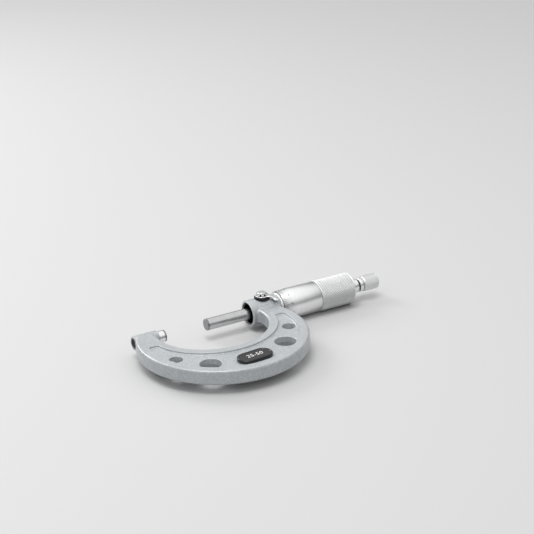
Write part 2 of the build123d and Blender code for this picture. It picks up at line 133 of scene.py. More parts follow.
def makeHammerGroup():
    # hammered paint: soft dimples from smooth cells, with finer orange peel between them
    group, given, results = newGroup("hammerPaint", {"Cells": 900.0, "Peel": 2600.0}, ["Height", "Value"])
    place = addNode(group, "TexCoord").outputs["Object"]
    cells = addNode(
        group, "TexVoronoi", feature="SMOOTH_F1", _Vector=place, _Scale=given["Cells"], _Smoothness=0.8)
    peel = addNode(group, "TexNoise", _Vector=place, _Scale=given["Peel"], _Detail=2.0, _Roughness=0.6)
    blotch = addNode(group, "TexNoise", _Vector=place, _Scale=160.0, _Detail=3.0, _Roughness=0.55)
    height = addShares(group, (cells.outputs["Distance"], 0.7), (peel.outputs[0], 0.5))
    group.links.new(height, results["Height"])
    group.links.new(addShares(group, (blotch.outputs[0], 0.3), (height, 0.7)), results["Value"])
    return group


def makeTurnedGroup():
    # lathe lines round the X axis: noise drawn out thin along X, with a slower band of uneven cutting
    group, given, results = newGroup("turnedLines", {"Bands": 1.0}, ["Height", "Value"])
    fine = stretch(group, (9000, 70, 70))
    slow = stretch(group, (700, 25, 25))
    lines = addNode(group, "TexNoise", _Vector=fine, _Scale=1.0, _Detail=3.0, _Roughness=0.7)
    bands = addNode(group, "TexNoise", _Vector=slow, _Scale=1.0, _Detail=1.0)
    group.links.new(lines.outputs[0], results["Height"])
    value = addShares(group, (lines.outputs[0], 0.5), (bands.outputs[0], given["Bands"]))
    group.links.new(value, results["Value"])
    return group


def makeHandlingGroup():
    # fine hairlines left by handling, lying two ways over a soft speckle
    group, given, results = newGroup("handling", {"Scale": 1.0}, ["Height", "Mask"])
    noise = []
    for scale, detail in (((4200, 240, 900), 2.0), ((200, 3800, 1200), 2.0), ((5200, 5200, 5200), 1.0)):
        place = stretch(group, scale)
        lines = addNode(group, "TexNoise", _Vector=place, _Scale=given["Scale"], _Detail=detail)
        noise.append(lines.outputs[0])
    height = addShares(group, (noise[0], 0.4), (noise[1], 0.35), (noise[2], 0.25))
    group.links.new(height, results["Height"])
    lifted = combine(group, "MULTIPLY", height, 1.6, clamp=True)
    group.links.new(combine(group, "POWER", lifted, 3.0), results["Mask"])
    return group


def makeSmudgeGroup():
    # a light film of oil and dust: broad soft patches, 0 clean to 1 dull
    group, given, results = newGroup("smudge", {"Scale": 220.0, "Spread": 1.6}, ["Mask"])
    place = addNode(group, "TexCoord").outputs["Object"]
    patch = addNode(group, "TexNoise", _Vector=place, _Scale=given["Scale"], _Detail=4.0, _Roughness=0.62)
    centred = combine(group, "SUBTRACT", patch.outputs[0], 0.5)
    widened = combine(group, "MULTIPLY", centred, given["Spread"])
    group.links.new(combine(group, "ADD", widened, 0.5, clamp=True), results["Mask"])
    return group


def makeWearGroup():
    # worn edges: where a rounded normal leaves the true one, broken up by noise
    group, given, results = newGroup("edgeWear", {"Width": 0.0004, "Strength": 6.0}, ["Mask"])
    rounded = addNode(group, "Bevel", samples=4, _Radius=given["Width"]).outputs[0]
    true = addNode(group, "NewGeometry").outputs["Normal"]
    match = addNode(group, "VectorMath", operation="DOT_PRODUCT", _0=rounded, _1=true).outputs["Value"]
    bend = combine(group, "SUBTRACT", 1.0, match, clamp=True)
    edge = combine(group, "MULTIPLY", bend, given["Strength"], clamp=True)
    place = addNode(group, "TexCoord").outputs["Object"]
    chips = addNode(group, "TexNoise", _Vector=place, _Scale=1400.0, _Detail=3.0)
    broken = combine(group, "MULTIPLY", chips.outputs[0], 1.3)
    group.links.new(combine(group, "MULTIPLY", edge, broken, clamp=True), results["Mask"])
    return group


hammerGroup = makeHammerGroup()
turnedGroup = makeTurnedGroup()
handlingGroup = makeHandlingGroup()
smudgeGroup = makeSmudgeGroup()
wearGroup = makeWearGroup()
print("shader groups ready")


# Material helpers

def useGroup(tree, group, **values):
    node = tree.nodes.new("ShaderNodeGroup")
    node.node_tree = group
    for title, value in values.items():
        node.inputs[title].default_value = value
    return node.outputs


def newMaterial(name, **values):
    # a fresh material with one Principled shader, its fixed values set on the shader's own sockets
    material = bpy.data.materials.new(name)
    material.use_nodes = True
    shader = material.node_tree.nodes["Principled BSDF"]
    for title, value in values.items():
        shader.inputs[title.replace("_", " ")].default_value = value
    return material, material.node_tree, shader


def blendColour(tree, mask, low, high):
    # a colour that goes from low to high with the mask
    mix = addNode(tree, "Mix", data_type="RGBA")
    tree.links.new(mask, mix.inputs["Factor"])
    colourA, colourB, result = mix.inputs[6], mix.inputs[7], mix.outputs[2]
    for socket, colour in ((colourA, low), (colourB, high)):
        plug(tree, socket, colour if isinstance(colour, bpy.types.NodeSocket) else (*colour, 1))
    return result


def setColour(tree, shader, colour):
    tree.links.new(colour, shader.inputs["Base Color"])


def setRoughness(tree, shader, mask, low, high):
    # roughness from low to high with the mask
    rough = addNode(tree, "MapRange", _Value=mask, _3=low, _4=high).outputs[0]
    tree.links.new(rough, shader.inputs["Roughness"])


def setBump(tree, shader, height, depth):
    # bump of the given depth in metres
    bump = addNode(tree, "Bump", _Height=height, _Distance=depth, _Strength=1.0)
    tree.links.new(bump.outputs[0], shader.inputs["Normal"])


# Hammered silver-grey paint

paintLook = {
    "dark": (0.22, 0.24, 0.255), "light": (0.56, 0.585, 0.60), "worn": (0.74, 0.76, 0.77),
    "metallic": 0.25, "coat": 0.25, "coatRough": 0.22, "rough": (0.30, 0.46),
    "dimple": 0.00012, "cells": 1100.0, "peel": 3200.0, "smudge": 140.0, "wearWidth": 0.0005, "wear": 5.0,
}


def makePaint(name, look):
    fixed = {"Metallic": look["metallic"], "Coat_Weight": look["coat"], "Coat_Roughness": look["coatRough"]}
    material, tree, shader = newMaterial(name, **fixed)
    hammer = useGroup(tree, hammerGroup, Cells=look["cells"], Peel=look["peel"])
    smudge = useGroup(tree, smudgeGroup, Scale=look["smudge"])
    wear = useGroup(tree, wearGroup, Width=look["wearWidth"], Strength=look["wear"])
    colour = blendColour(tree, hammer["Value"], look["dark"], look["light"])
    setColour(tree, shader, blendColour(tree, wear["Mask"], colour, look["worn"]))
    setRoughness(tree, shader, smudge["Mask"], *look["rough"])
    setBump(tree, shader, hammer["Height"], look["dimple"])
    return material


# Steels, chromes and carbide; "turned" ones carry lathe lines round the X axis

metalLook = {
    "groundSteel": {
        "dark": (0.45, 0.45, 0.455), "light": (0.64, 0.64, 0.645), "worn": (0.691, 0.691, 0.697),
        "rough": (0.13, 0.22), "depth": 0.000004, "turned": True},
    "lappedCarbide": {
        "dark": (0.22, 0.22, 0.235), "light": (0.33, 0.33, 0.345), "worn": (0.356, 0.356, 0.373),
        "rough": (0.18, 0.30), "depth": 0.000002, "turned": False},
    "satinChrome": {
        "dark": (0.80, 0.805, 0.81), "light": (0.92, 0.925, 0.93), "worn": (0.95, 0.95, 0.95),
        "rough": (0.34, 0.41), "depth": 0.000003, "turned": True},
    "brightChrome": {
        "dark": (0.72, 0.725, 0.73), "light": (0.88, 0.885, 0.89), "worn": (0.95, 0.95, 0.95),
        "rough": (0.10, 0.24), "depth": 0.000003, "turned": False},
    "turnedChrome": {
        "dark": (0.76, 0.765, 0.77), "light": (0.90, 0.905, 0.91), "worn": (0.95, 0.95, 0.95),
        "rough": (0.21, 0.26), "depth": 0.000001, "turned": True},
    "turnedSteel": {
        "dark": (0.36, 0.36, 0.37), "light": (0.56, 0.56, 0.57), "worn": (0.605, 0.605, 0.616),
        "rough": (0.26, 0.42), "depth": 0.00001, "turned": True},
    "nearBlack": {
        "dark": (0.012, 0.012, 0.014), "light": (0.05, 0.05, 0.055), "worn": (0.40, 0.40, 0.405),
        "rough": (0.30, 0.48), "depth": 0.000006, "turned": False},
}


def makeMetal(name, look):
    material, tree, shader = newMaterial(name, Metallic=1.0)
    handling = useGroup(tree, handlingGroup)
    smudge = useGroup(tree, smudgeGroup)
    wear = useGroup(tree, wearGroup, Width=0.00018, Strength=3.0)
    grain, height = handling["Height"], handling["Height"]
    if look["turned"]:
        lines = useGroup(tree, turnedGroup)
        grain, height = lines["Value"], addShares(tree, (lines["Height"], 1.0), (handling["Height"], 0.5))
    tone = addShares(tree, (smudge["Mask"], 0.4), (grain, 0.6))
    colour = blendColour(tree, tone, look["dark"], look["light"])
    rubbed = combine(tree, "MULTIPLY", wear["Mask"], 0.6)
    setColour(tree, shader, blendColour(tree, rubbed, colour, look["worn"]))
    dull = addShares(tree, (smudge["Mask"], 0.6), (handling["Mask"], 0.4))
    setRoughness(tree, shader, dull, *look["rough"])
    setBump(tree, shader, height, look["depth"])
    return material


# Black plastic, white print and the scales' ink

plasticLook = {
    "glossBlack": {
        "dark": (0.006, 0.006, 0.007), "light": (0.022, 0.022, 0.024),
        "rough": (0.12, 0.26), "depth": 0.000006},
    "satinBlack": {
        "dark": (0.008, 0.008, 0.009), "light": (0.035, 0.035, 0.037),
        "rough": (0.38, 0.55), "depth": 0.00002},
    "whitePrint": {
        "dark": (0.72, 0.72, 0.71), "light": (0.86, 0.86, 0.85),
        "rough": (0.35, 0.5), "depth": 0.000006},
    "darkInk": {
        "dark": (0.015, 0.015, 0.017), "light": (0.05, 0.05, 0.055),
        "rough": (0.45, 0.62), "depth": 0.000006},
}


def makePlastic(name, look):
    material, tree, shader = newMaterial(name)
    handling = useGroup(tree, handlingGroup)
    smudge = useGroup(tree, smudgeGroup, Scale=320.0)
    dusty = combine(tree, "MULTIPLY", smudge["Mask"], handling["Mask"])
    setColour(tree, shader, blendColour(tree, dusty, look["dark"], look["light"]))
    setRoughness(tree, shader, smudge["Mask"], *look["rough"])
    setBump(tree, shader, handling["Height"], look["depth"])
    return material


# Chrome darker where the mesh's own rise is low: darker in knurl valleys and grooves, and painted shade
# where a piece sets its rise low; its peaks rubbed bright

grooveLook = {
    "knurledChrome": {
        "groove": (0.17, 0.17, 0.175), "flank": (0.80, 0.805, 0.81), "peak": (0.95, 0.952, 0.955),
        "rough": (0.30, 0.5), "depth": 0.000003},
    "ringedChrome": {
        "groove": (0.035, 0.035, 0.037), "flank": (0.76, 0.765, 0.77), "peak": (0.90, 0.905, 0.91),
        "rough": (0.24, 0.5), "depth": 0.000001},
}


def makeGrooved(name, look):
    material, tree, shader = newMaterial(name, Metallic=1.0)
    rise = addNode(tree, "Attribute", attribute_name="rise").outputs["Fac"]
    lines = useGroup(tree, turnedGroup)
    smudge = useGroup(tree, smudgeGroup)
    tone = addShares(tree, (smudge["Mask"], 0.5), (lines["Value"], 0.5))
    metal = blendColour(tree, tone, look["flank"], look["peak"])
    # the rise's low end takes the groove colour: darker valleys, and painted shade where the rise was set
    # low
    cleanAndLit = combine(tree, "POWER", rise, 0.6)
    setColour(tree, shader, blendColour(tree, cleanAndLit, look["groove"], metal))
    # dull is 1 less the rise's clean and lit share times (1 - smudge / 4): dull all over in a groove and in
    # painted shade, and a little where a peak is smudged
    shine = combine(tree, "SUBTRACT", 1.0, combine(tree, "MULTIPLY", smudge["Mask"], 0.25))
    dull = combine(tree, "SUBTRACT", 1.0, combine(tree, "MULTIPLY", cleanAndLit, shine), clamp=True)
    setRoughness(tree, shader, dull, *look["rough"])
    setBump(tree, shader, lines["Height"], look["depth"])
    return material


looks = {"framePaint": makePaint("framePaint", paintLook)}
looks.update({name: makeMetal(name, look) for name, look in metalLook.items()})
looks.update({name: makePlastic(name, look) for name, look in plasticLook.items()})
looks.update({name: makeGrooved(name, look) for name, look in grooveLook.items()})

finishes = {
    "framePaint": ["frame"],
    "groundSteel": ["spindle"],
    "lappedCarbide": ["anvil_tip", "spindle_tip"],
    "satinBlack": ["anvil_plug"],
    "glossBlack": ["name_plate"],
    # the lock washer is near black: partly its own colour, partly painted shadow under the lock disc's
    # overhang
    "nearBlack": ["lock_washer", "front_bush"],
    "turnedSteel": [
        "inner_sleeve", "adjusting_nut", "clamp_ring", "drive_ring", "click_ring", "ratchet_spring"],
    "satinChrome": ["outer_sleeve", "thimble", "ratchet_knob"],
    "brightChrome": ["lock_pin", "lock_lever", "lock_nut", "lock_screw"],
    "turnedChrome": ["anvil", "ratchet_screw", "ratchet_sleeve", "end_screw"],
}


def dressNodes():
    for finish, names in finishes.items():
        for name in names:
            nodes[name].data.materials.clear()
            nodes[name].data.materials.append(looks[finish])


dressNodes()
print("materials ready:", len(looks))


# Mesh helpers

def makePiece(name, points, faces, look, body, replaced=(), smooth=True):
    # points in millimetres and faces as rows of corner numbers become one piece on a body
    mesh = bpy.data.meshes.new(name)
    mesh.from_pydata((np.asarray(points) * mm).tolist(), [], [list(map(int, face)) for face in faces])
    mesh.polygons.foreach_set("use_smooth", [smooth] * len(mesh.polygons))
    mesh.materials.append(looks[look])
    mesh.update()
    piece = bpy.data.objects.new(name, mesh)
    bpy.context.scene.collection.objects.link(piece)
    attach(piece, body)
    if replaced:
        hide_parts(*replaced)
    return piece


def keepRise(piece, rise):
    # how high each corner stands over the grooves, 0 to 1, for the material to read, where low means dark;
    # at the thimble's lip, in the neck's gap and in the lock disc's notches it is set low as painted shade
    layer = piece.data.attributes.new("rise", "FLOAT", "POINT")
    layer.data.foreach_set("value", rise.ravel().astype(np.float32))


def flattenFrom(piece, first):
    # the faces from this one on are shaded flat
    smooth = np.arange(len(piece.data.polygons)) < first
    piece.data.polygons.foreach_set("use_smooth", smooth.tolist())


def aroundTurn(steps):
    # equal turns round a circle
    return np.arange(steps) / steps * 2 * pi


def gridFaces(rows, columns, wrapRows=True):
    # four-sided faces between neighbours on a grid whose columns close on themselves
    row = np.arange(rows if wrapRows else rows - 1)[:, None]
    column = np.arange(columns)[None, :]
    nextRow, nextColumn = (row + 1) % rows, (column + 1) % columns
    corners = [(row, column), (row, nextColumn), (nextRow, nextColumn), (nextRow, column)]
    return np.stack([(down * columns + along).ravel() for down, along in corners], axis=1)


def tubeFaces(rows, columns):
    # the same grid left open at both ends, with one many-sided face over each
    faces = gridFaces(rows, columns, wrapRows=False).tolist()
    faces.append(list(range(columns))[::-1])
    faces.append([(rows - 1) * columns + corner for corner in range(columns)])
    return faces


def turnedGrid(along, out, steps):
    # each profile point (x, r) is carried round the X axis: (x, r cos t, r sin t); r may change with t
    turn = aroundTurn(steps)
    along = np.broadcast_to(np.asarray(along)[:, None], (len(along), steps))
    out = np.broadcast_to(np.asarray(out).reshape(len(along), -1), along.shape)
    return np.stack([along, out * np.cos(turn), out * np.sin(turn)], axis=2).reshape(-1, 3)


def ridges(phase, steepness):
    # from 0 in the grooves at whole numbers to 1 on flat tops between them
    return np.minimum(np.abs((phase + 0.5) % 1 - 0.5) * 2 * steepness, 1)


def fadeEnds(along, first, last, length):
    # 1 in the middle, falling to 0 over the given length at both ends, as one column
    return np.clip(np.minimum(along - first, last - along) / length, 0, 1)[:, None]


def gather(parts):
    # several (points, faces) joined into one list of points and one of faces
    points, faces, count = [], [], 0
    for some, theirs in parts:
        points.append(some)
        faces += [[int(corner) + count for corner in face] for face in theirs]
        count += len(some)
    return np.concatenate(points), faces


# Thimble: bevelled scale edge, plain barrel, groove and diamond knurl, with the bore behind it

thimble = {
    "bevelRadius": 8.3, "bevelEnd": 77.5, "plainRadius": 8.75, "grooveWidth": 0.5, "grooveDepth": 0.22,
    "knurlStart": 95.0, "radius": 9.0, "endRound": 0.8, "endDrop": 0.1,
    "diamonds": 48, "finer": 8, "knurlDepth": 0.36, "pitch": 1.18, "steepness": 1.7,
    "fade": 0.35, "fadeDrop": 0.12,
    "bore": 7.9, "boreEnd": 110.0, "taper": (3.23, 2.78), "taperEnd": 115.5,
    "lip": [(0.02, -0.12), (0.05, -0.03), (0.15, 0.01)], "lipInside": -0.14,
    "lipShadowRise": [0, 0, 0.4], "grooveRise": 0.15, "grooveRows": 3, "flatRows": 6,
}


def thimbleFront(start):
    # lip, bevel, plain barrel and the groove before the knurl, as (x, r)
    bevel, plain, end = thimble["bevelRadius"], thimble["plainRadius"], thimble["bevelEnd"]
    knurlFrom = thimble["knurlStart"]
    groove, floor = knurlFrom - thimble["grooveWidth"], plain - thimble["grooveDepth"]
    front = [(start + x, bevel + r) for x, r in thimble["lip"]]
    front += [(end - 0.15, plain - 0.01), (end + 0.15, plain), (groove - 0.12, plain), (groove, plain - 0.1)]
    return front + [(groove + 0.08, floor), (knurlFrom - 0.1, floor)]


def thimbleBack(start, end):
    # rounded end, taper seat, bore and the inside of the lip, as (x, r)
    size, full = thimble["endRound"], thimble["radius"] - thimble["endDrop"]
    large, small = thimble["taper"]
    back = [(end - size * (1 - sin(a)), full - size * (1 - cos(a))) for a in np.linspace(0, pi / 2, 5)]
    back += [(end, small), (thimble["taperEnd"], small), (thimble["boreEnd"], large)]
    back += [(thimble["boreEnd"], thimble["bore"]), (start, thimble["bore"])]
    return back + [(start, thimble["bevelRadius"] + thimble["lipInside"])]


def makeThimble():
    low, high = span("thimble")
    start, end = low[0], high[0]
    knurlFrom, knurlTo = thimble["knurlStart"], end - thimble["endRound"]
    knurl = np.arange(knurlFrom, knurlTo, thimble["pitch"] / thimble["finer"])
    front = thimbleFront(start)
    profile = np.array(front + [(x, thimble["radius"]) for x in knurl] + thimbleBack(start, end))
    steps = thimble["diamonds"] * thimble["finer"]
    out = np.repeat(profile[:, 1:], steps, axis=1)
    rise = np.ones(out.shape)
    # the knurl is the lower of two families of ridges that slant opposite ways
    across = aroundTurn(steps)[None, :] / (2 * pi) * thimble["diamonds"]
    slant = (knurl[:, None] - knurlFrom) / thimble["pitch"]
    steepness = thimble["steepness"]
    pattern = np.minimum(ridges(across + slant, steepness), ridges(across - slant, steepness))
    fade = fadeEnds(knurl, knurlFrom, knurlTo, thimble["fade"])
    rows = slice(len(front), len(front) + len(knurl))
    out[rows] -= thimble["knurlDepth"] * (1 - pattern) + thimble["fadeDrop"] * (1 - fade)
    rise[rows] = pattern
    # painted shadow: the lip's end face and inside edge are set to 0 and its first rows low, a dark line
    # where the thimble meets the sleeve
    rise[-2:] = 0
    rise[:len(thimble["lipShadowRise"])] = np.array(thimble["lipShadowRise"])[:, None]
    rise[len(front) - thimble["grooveRows"]:len(front)] = thimble["grooveRise"]
    points = turnedGrid(profile[:, 0], out, steps)
    faces = gridFaces(len(profile), steps)
    piece = makePiece("thimbleBarrel", points, faces, "knurledChrome", "thimble", ["thimble"])
    keepRise(piece, rise)
    flattenFrom(piece, (len(profile) - thimble["flatRows"]) * steps)


makeThimble()
print("thimble ready")


# Scales: thin raised ink lines and numbers, bent round the thimble's bevel and round the sleeve

scale = {
    "ink": 0.012, "root": -0.04, "lineWidth": 0.16, "zero": 122.0, "divisions": 50, "lineStart": 0.15,
    "thimbleLines": (2.3, 3.3), "thimbleNumber": 1.75, "thimbleNumberAt": 4.0,
    "sleeveRadius": 7.8, "travel": 25, "sleeveLines": (1.1, 2.0), "sleeveNumber": 2.1, "sleeveNumberAt": 1.3,
    "sleeveFirst": 25, "datumStart": 0.3, "datumEnd": 98.0,
}


def inkBlock(x0, x1, a0, a1):
    # a thin closed six-sided block in (x, arc, height)
    outline = ((x0, a0), (x1, a0), (x1, a1), (x0, a1))
    points = np.array([(x, a, h) for h in (scale["root"], scale["ink"]) for x, a in outline])
    return points, [(3, 2, 1, 0), (4, 5, 6, 7), (0, 1, 5, 4), (1, 2, 6, 5), (2, 3, 7, 6), (3, 0, 4, 7)]


def digitMesh(text, size):
    # the number's outline as a closed flat mesh, its middle on the line y = 0
    curve = bpy.data.curves.new("digits", "FONT")
    curve.body = text
    curve.size = size
    curve.extrude = 0.02
    curve.resolution_u = 3
    curve.align_y = "CENTER"
    holder = bpy.data.objects.new("digits", curve)
    bpy.context.scene.collection.objects.link(holder)
    mesh = bpy.data.meshes.new_from_object(holder)
    points = np.empty(len(mesh.vertices) * 3)
    mesh.vertices.foreach_get("co", points)
    faces = [tuple(polygon.vertices) for polygon in mesh.polygons]
    bpy.data.objects.remove(holder)
    bpy.data.curves.remove(curve)
    bpy.data.meshes.remove(mesh)
    return points.reshape(-1, 3), faces


def inkNumber(number, size):
    # a number as thick as the lines
    points, faces = digitMesh(str(number), size)
    points[:, 2] = np.where(points[:, 2] > 0, scale["ink"], scale["root"])
    return points, faces


def wrapRound(flat, radius):
    # (x, arc, height) goes to a turn of arc / radius about the X axis, back from the zero line
    out = radius + flat[:, 2]
    turn = radians(scale["zero"]) - flat[:, 1] / radius
    return np.stack([flat[:, 0], out * np.cos(turn), out * np.sin(turn)], axis=1)


def makeThimbleScale():
    start = span("thimble")[0][0]
    radius, half = thimble["bevelRadius"], scale["lineWidth"] / 2
    parts = []
    for line in range(scale["divisions"]):
        arc = line / scale["divisions"] * 2 * pi * radius
        reach = scale["thimbleLines"][line % 5 == 0]
        parts.append(inkBlock(start + scale["lineStart"], start + reach, arc - half, arc + half))
        if line % 5 == 0:
            points, faces = inkNumber(line, scale["thimbleNumber"])
            parts.append((points + (start + scale["thimbleNumberAt"], arc, 0), faces))
    flat, faces = gather(parts)
    points = wrapRound(flat, radius)
    # the scale climbs the bevel: every radius grows by the same share as the bevel's own
    length = thimble["bevelEnd"] - start
    slope = (thimble["plainRadius"] - radius) / length
    points[:, 1:] *= 1 + np.clip(flat[:, :1] - start, 0, length) * slope / radius
    makePiece("thimbleScale", points, faces, "darkInk", "thimble", smooth=False)


def makeSleeveScale():
    start = span("thimble")[0][0]
    half = scale["lineWidth"] / 2
    parts = [inkBlock(span("outer_sleeve")[0][0] + scale["datumStart"], scale["datumEnd"], -half, half)]
    for step in range(2 * scale["travel"] + 1):
        # whole millimetres stand on one side of the datum line and halves on the other
        x = start + step / 2
        reach = scale["sleeveLines"][step % 10 == 0]
        side = (0, reach) if step % 2 == 0 else (-reach, 0)
        parts.append(inkBlock(x - half, x + half, *side))
        if step % 10 == 0 and step:
            points, faces = inkNumber(scale["sleeveFirst"] + step // 2, scale["sleeveNumber"])
            middle = points[:, 0].max() / 2
            parts.append((points + (x - middle, reach + scale["sleeveNumberAt"], 0), faces))
    flat, faces = gather(parts)
    points = wrapRound(flat, scale["sleeveRadius"])
    makePiece("sleeveScale", points, faces, "darkInk", "sleeve", smooth=False)


makeThimbleScale()
makeSleeveScale()
print("scales ready")


# Ratchet knob: slanting fine knurl on a cup that is open inside for the clicking rings

knob = {
    "radius": 4.4, "ridges": 32, "finer": 6, "depth": 0.2, "pitch": 0.85, "slant": 0.35, "steepness": 1.6,
    "endRound": 0.45, "endDrop": 0.1, "fade": 0.3, "lead": 0.02, "flatRows": 9,
    "cup": 3.5, "keyway": 3.72, "spigotEnd": 127.0, "cupEnd": 133.2,
    "wallEnd": 134.5, "axle": 1.53, "recess": 2.9,
}


def makeKnob():
    low, high = span("ratchet_knob")
    start, end, size, full = low[0], high[0], knob["endRound"], knob["radius"]
    knurl = np.arange(start + size + knob["lead"], end - size, knob["pitch"] / knob["finer"])
    corner = np.linspace(0, pi / 2, 4)
    inset = size * (1 - np.sin(corner))
    out = full - size + size * np.cos(corner) - knob["endDrop"]
    before = list(zip(start + inset, out))[::-1]
    after = list(zip(end - inset, out))
    after += [(end, knob["recess"]), (knob["wallEnd"], knob["recess"])]
    after += [(knob["wallEnd"], knob["axle"]), (knob["cupEnd"], knob["axle"])]
    after += [(knob["cupEnd"], knob["keyway"]), (knob["spigotEnd"], knob["keyway"])]
    after += [(knob["spigotEnd"], knob["cup"]), (start, knob["cup"])]
    profile = np.array(before + [(x, full) for x in knurl] + after)
    steps = knob["ridges"] * knob["finer"]
    out = np.repeat(profile[:, 1:], steps, axis=1)
    rise = np.ones(out.shape)
    # one family of ridges that slant as they go along the knob
    across = aroundTurn(steps)[None, :] / (2 * pi) * knob["ridges"]
    pattern = ridges(across + (knurl[:, None] - start) * knob["slant"], knob["steepness"])
    fade = fadeEnds(knurl, knurl[0], knurl[-1], knob["fade"])
    rows = slice(len(before), len(before) + len(knurl))
    out[rows] -= knob["depth"] * (1 - pattern) + knob["endDrop"] * (1 - fade)
    rise[rows] = pattern
    points = turnedGrid(profile[:, 0], out, steps)
    faces = gridFaces(len(profile), steps)
    piece = makePiece("knobCup", points, faces, "knurledChrome", "knob", ["ratchet_knob"])
    keepRise(piece, rise)
    flattenFrom(piece, (len(profile) - knob["flatRows"]) * steps)


# Click spring: a wire coil between the click ring and the cup's end wall

spring = {"coil": 2.5, "wire": 0.17, "turns": 3, "gap": 0.05, "along": 120, "around": 10, "slide": 0.5}


def makeSpring():
    low, high = span("ratchet_spring")
    start, end = low[0] + spring["gap"] + spring["wire"], high[0] - spring["wire"]
    step = np.linspace(0, 1, spring["along"])[:, None]
    turn = step * spring["turns"] * 2 * pi
    # wire sections (w cos s, w sin s) in the plane of the radius and the X axis, carried along a helix
    section = aroundTurn(spring["around"])
    out = spring["coil"] + spring["wire"] * np.cos(section)
    x = start + (end - start) * step + spring["wire"] * np.sin(section)
    points = np.stack([x, out * np.cos(turn), out * np.sin(turn)], axis=2).reshape(-1, 3)
    faces = [face[::-1] for face in tubeFaces(spring["along"], spring["around"])]
    piece = makePiece("clickSpring", points, faces, "turnedSteel", "knob", ["ratchet_spring"])
    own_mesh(piece)


# Neck: two smooth rings with painted shade in the gap between them, one on the thimble's screw and one on
# the knob

neck = {
    "radius": 4.0, "lead": 0.3, "chamfer": 0.4, "seat": 0.01, "screwEnd": 122.2, "root": 3.2, "gap": 0.75,
    "axle": 1.5, "axleEnd": 134.4, "stem": 1.57, "tapped": 0.91, "tapDepth": 3.6,
    "bore": 1.53, "sleeveEnd": 125.2, "spigot": 3.48, "ease": 0.05, "litAbove": 0.45, "around": 96,
}


def eased(profile):
    # every inner corner becomes two points, a little along the lines on each side of it
    points = np.array(profile, float)
    step = np.diff(points, axis=0)
    step *= neck["ease"] / np.linalg.norm(step, axis=1, keepdims=True)
    inner = np.stack([points[1:-1] - step[:-1], points[1:-1] + step[1:]], axis=1).reshape(-1, 2)
    return np.concatenate([points[:1], inner, points[-1:]])


def makeNeckRing(name, profile, facing, body, node):
    # the eased profile carried round the X axis, with painted shade where it lies deep below the ring's own
    # radius
    profile = eased(profile)
    points = turnedGrid(profile[:, 0], profile[:, 1:], neck["around"])
    faces = facing(len(profile), neck["around"])
    piece = makePiece(name, points, faces, "ringedChrome", body, [node])
    rise = np.clip((profile[:, 1] - neck["root"]) / neck["litAbove"], 0, 1)
    keepRise(piece, np.repeat(rise, neck["around"]))


def makeNeck():
    full, lead, chamfer = neck["radius"], neck["lead"], neck["chamfer"]
    shoulder = span("thimble")[1][0] + neck["seat"]
    end, past = neck["screwEnd"], neck["screwEnd"] + neck["gap"]
    screw = [(span("ratchet_screw")[0][0], neck["stem"]), (shoulder, neck["stem"])]
    screw += [(shoulder, full - lead), (shoulder + lead, full), (end - chamfer, full), (end, full - chamfer)]
    screw += [(end, neck["root"]), (past, neck["root"]), (past, neck["axle"])]
    screw += [(neck["axleEnd"], neck["axle"]), (neck["axleEnd"], neck["tapped"])]
    screw.append((neck["axleEnd"] - neck["tapDepth"], neck["tapped"]))
    makeNeckRing("neckScrew", screw, tubeFaces, "thimble", "ratchet_screw")
    low, high = span("ratchet_sleeve")
    start, end = low[0], neck["sleeveEnd"]
    sleeve = [(start, neck["bore"]), (start, full - lead), (start + lead, full), (end - lead, full)]
    sleeve += [(end, full - lead), (end, neck["spigot"]), (high[0], neck["spigot"]), (high[0], neck["bore"])]
    makeNeckRing("neckSleeve", sleeve, gridFaces, "knob", "ratchet_sleeve")


makeKnob()
makeSpring()
makeNeck()
print("ratchet knob ready")


# Lock: a lever swept from its hub down to a drop-shaped tip, and a notched clamping disc on top of it

lever = {
    "angle": -41.0, "hub": 3.6, "hole": 1.53, "edge": 0.22, "thick": 0.8, "hubSteps": 96,
    "stations": [1.0, 3.2, 4.6, 5.8, 7.0, 8.1, 9.1, 9.7, 9.95],
    "heights": [8.85, 8.85, 8.8, 8.35, 7.55, 7.05, 6.85, 6.8, 6.8],
    "widths": [3.6, 3.3, 2.7, 2.3, 2.9, 3.6, 2.9, 1.7, 0.3],
    "depths": [0.7, 0.78, 0.85, 0.95, 1.3, 1.6, 1.35, 0.9, 0.2],
    "steps": 48, "around": 28, "crowding": 0.9, "sideFullness": 0.7, "topFullness": 0.8,
}


def lockAxis():
    # the lock turns about the middle of its washer
    low, high = span("lock_washer")
    return (low[0] + high[0]) / 2, (low[1] + high[1]) / 2


def standing(rings, steps):
    # a closed profile (r, z) carried round the lock's upright axis; r may change with the turn
    turn = aroundTurn(steps)
    x, y = lockAxis()
    out = np.stack([np.broadcast_to(radius, (steps,)) for radius, height in rings])
    up = np.stack([np.broadcast_to(height, (steps,)) for radius, height in rings])
    points = np.stack([x + out * np.cos(turn), y + out * np.sin(turn), up], axis=2).reshape(-1, 3)
    return points, gridFaces(len(rings), steps)


def leverHub():
    top = span("lock_lever")[1][2]
    under, edge, hub, hole = top - lever["thick"], lever["edge"], lever["hub"], lever["hole"]
    soft = 0.3 * edge
    rings = [(hole, under), (hub - edge, under), (hub - soft, under + soft), (hub, under + edge)]
    rings += [(hub, top - edge), (hub - soft, top - soft), (hub - edge, top), (hole, top)]
    return standing(rings, lever["hubSteps"])


